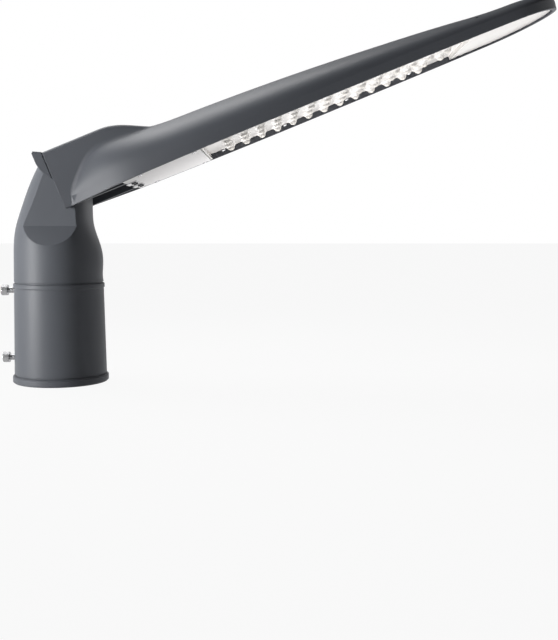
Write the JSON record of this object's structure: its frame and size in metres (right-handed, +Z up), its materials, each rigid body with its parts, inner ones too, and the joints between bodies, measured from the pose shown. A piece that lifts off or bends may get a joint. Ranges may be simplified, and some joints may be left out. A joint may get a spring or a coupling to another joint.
{
  "type": "led post top light head",
  "caption": "Leaf-shaped LED street light head that tilts on a slip-over post socket with side clamp screws.",
  "frame": {"origin": "centre of the post socket's mouth, at the bottom of the collar", "axes": "+Z up along the post, +X towards the tip of the head, +Y across the head"},
  "size_m": [0.5194, 0.147, 0.356],
  "materials": {
    "grey_casting": "satin powder coat on die-cast aluminium",
    "stainless": "bright stainless steel",
    "dark_screw": "blackened steel",
    "bronze": "plain turned bronze",
    "lens_clear": "moulded clear acrylic",
    "seal_rubber": "matt foam rubber",
    "bare_aluminium": "milled",
    "board_white": "white solder mask",
    "chip_yellow": "phosphor",
    "cover_light": "satin light grey moulding",
    "zinc_sheet": "zinc plated",
    "driver_case": "white moulded case",
    "surge_case": "dark moulded case",
    "terminal_plastic": "moulded nylon",
    "brass_screw": "bright",
    "gland_plastic": "moulded nylon"
  },
  "bodies": {
    "spigot": {"spigot_casting": "grey_casting", "clamp_screws": "stainless", "pivot_bush": "bronze"},
    "head": {"housing": "grey_casting", "rear_cap": "grey_casting", "rear_cap_screws": "stainless", "lens_plate": "lens_clear", "lens_gasket": "seal_rubber", "lens_screws": "stainless", "heat_spreader": "bare_aluminium", "led_board": "board_white", "led_chips": "chip_yellow", "spreader_screws": "stainless", "gear_cover": "cover_light", "cover_gasket": "seal_rubber", "cover_screws": "stainless", "cover_latches": "stainless", "latch_screws": "dark_screw", "gear_tray": "zinc_sheet", "tray_screws": "stainless", "driver": "driver_case", "driver_screws": "stainless", "surge_protector": "surge_case", "terminal_block": "terminal_plastic", "cable_clamp": "terminal_plastic", "cable_clamp_screws": "stainless", "earth_screw": "brass_screw", "cable_gland": "gland_plastic", "vent_plug": "gland_plastic", "pivot_bolt": "stainless", "lock_bolt": "stainless", "threaded_inserts": "stainless", "friction_washers": "bronze"}
  },
  "joints": [
    {"name": "head_tilt", "type": "hinge", "parent": "spigot", "child": "head", "pos_m": [0.01808, 0, 0.19284], "axis": [0, 1, 0], "range_deg": [0, 22]}
  ]
}
